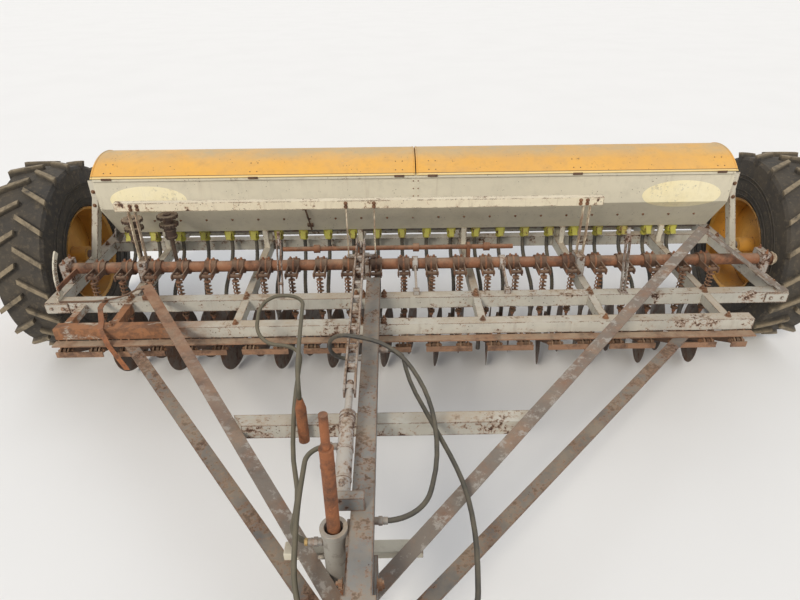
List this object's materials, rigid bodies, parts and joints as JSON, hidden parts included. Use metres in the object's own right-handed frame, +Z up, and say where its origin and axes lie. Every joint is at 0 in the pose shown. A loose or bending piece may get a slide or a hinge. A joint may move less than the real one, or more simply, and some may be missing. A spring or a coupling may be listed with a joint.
{
  "type": "seed drill",
  "caption": "Trailed disc seed drill with a long lidded seed box on two wheels, spring-pressed openers under a rock shaft and an offset drawbar with a parking jack.",
  "frame": {"origin": "centre of the bounding box at ground level", "axes": "+X to the right seen from the hitch, -Y toward the hitch, +Z up"},
  "size_m": [5.76, 3.929, 1.4961],
  "materials": {
    "cream_paint": "weathered cream paint with rust at the edges",
    "rusty_steel": "rusted steel, brown and rough",
    "grey_steel": "dull grey steel with dust",
    "yellow_paint": "faded ochre yellow paint with dust",
    "cup_paint": "yellow-green paint, worn",
    "hose_rubber": "matt black rubber",
    "tyre_rubber": "black-brown rubber with dust"
  },
  "bodies": {
    "frame": {"front_beams": "cream_paint", "rear_beams": "cream_paint", "side_members": "cream_paint", "front_angle": "rusty_steel", "pivot_bars": "rusty_steel", "drawbar": "cream_paint", "cross_tie": "cream_paint", "upper_braces": "rusty_steel", "lower_braces": "cream_paint", "hitch_clevis": "grey_steel", "shaft_bearings": "rusty_steel", "shaft_straps": "rusty_steel", "hand_levers": "rusty_steel", "lid_hinges": "grey_steel", "grab_rail": "cream_paint", "box_stands": "cream_paint", "end_straps": "cream_paint", "seed_box": "cream_paint", "feed_cups": "cup_paint", "feed_shaft": "grey_steel", "seed_tubes": "hose_rubber", "drive_shaft": "rusty_steel", "gear_stacks": "rusty_steel", "depth_quadrant": "rusty_steel", "stub_axles": "grey_steel", "footboard": "rusty_steel", "jack_sleeve": "grey_steel", "ram_barrel": "grey_steel", "hose_pocket": "rusty_steel", "hose_left": "hose_rubber", "hose_right": "hose_rubber", "hose_jack": "hose_rubber", "hose_long": "hose_rubber", "hose_ends": "grey_steel"},
    "wheel_left": {"tyre_left": "tyre_rubber", "rim_left": "yellow_paint"},
    "wheel_right": {"tyre_right": "tyre_rubber", "rim_right": "yellow_paint"},
    "lid_left": {"lid_left": "yellow_paint"},
    "lid_right": {"lid_right": "yellow_paint"},
    "jack_leg": {"jack_leg": "rusty_steel"},
    "openers": {"drag_arms": "rusty_steel", "opener_discs": "grey_steel", "seed_boots": "grey_steel"},
    "rods": {"press_rods": "rusty_steel", "press_springs": "rusty_steel"},
    "rock_shaft": {"rock_shaft": "rusty_steel", "shaft_forks": "rusty_steel", "lift_lever": "rusty_steel"},
    "ram_rod": {"ram_rod": "rusty_steel"}
  },
  "joints": [
    {"name": "wheel_left_spin", "type": "hinge", "parent": "frame", "child": "wheel_left", "pos_m": [-2.69, 1.2545, 0.71], "axis": [1, 0, 0], "continuous": true},
    {"name": "wheel_right_spin", "type": "hinge", "parent": "frame", "child": "wheel_right", "pos_m": [2.69, 1.2545, 0.71], "axis": [1, 0, 0], "continuous": true},
    {"name": "lid_left_hinge", "type": "hinge", "parent": "frame", "child": "lid_left", "pos_m": [-1.126, 1.574, 1.392], "axis": [-1, 0, 0], "range_deg": [0, 100]},
    {"name": "lid_right_hinge", "type": "hinge", "parent": "frame", "child": "lid_right", "pos_m": [1.126, 1.574, 1.392], "axis": [-1, 0, 0], "range_deg": [0, 100]},
    {"name": "jack_slide", "type": "slide", "parent": "frame", "child": "jack_leg", "axis": [0, 0, 1], "range_m": [0, 0.3]},
    {"name": "opener_lift", "type": "hinge", "parent": "frame", "child": "openers", "pos_m": [0, 0.0855, 0.6], "axis": [1, 0, 0], "range_deg": [0, 10], "deforming": ["seed_tubes"]},
    {"name": "shaft_turn", "type": "hinge", "parent": "frame", "child": "rock_shaft", "pos_m": [0, 0.7255, 0.85], "axis": [1, 0, 0], "range_deg": [-36, 0]},
    {"name": "rod_swing", "type": "hinge", "parent": "openers", "child": "rods", "pos_m": [0, 0.5755, 0.4], "axis": [1, 0, 0], "range_deg": [-10, 0]},
    {"name": "ram_extend", "type": "slide", "parent": "frame", "child": "ram_rod", "axis": [0, 0.9966, 0.0819], "range_m": [0, 0.1236]}
  ],
  "couplings": [
    {"joint": "shaft_turn", "follows": "opener_lift", "ratio": -3.6},
    {"joint": "rod_swing", "follows": "opener_lift", "ratio": -1},
    {"joint": "ram_extend", "follows": "opener_lift", "m_per_rad": 0.7082}
  ]
}
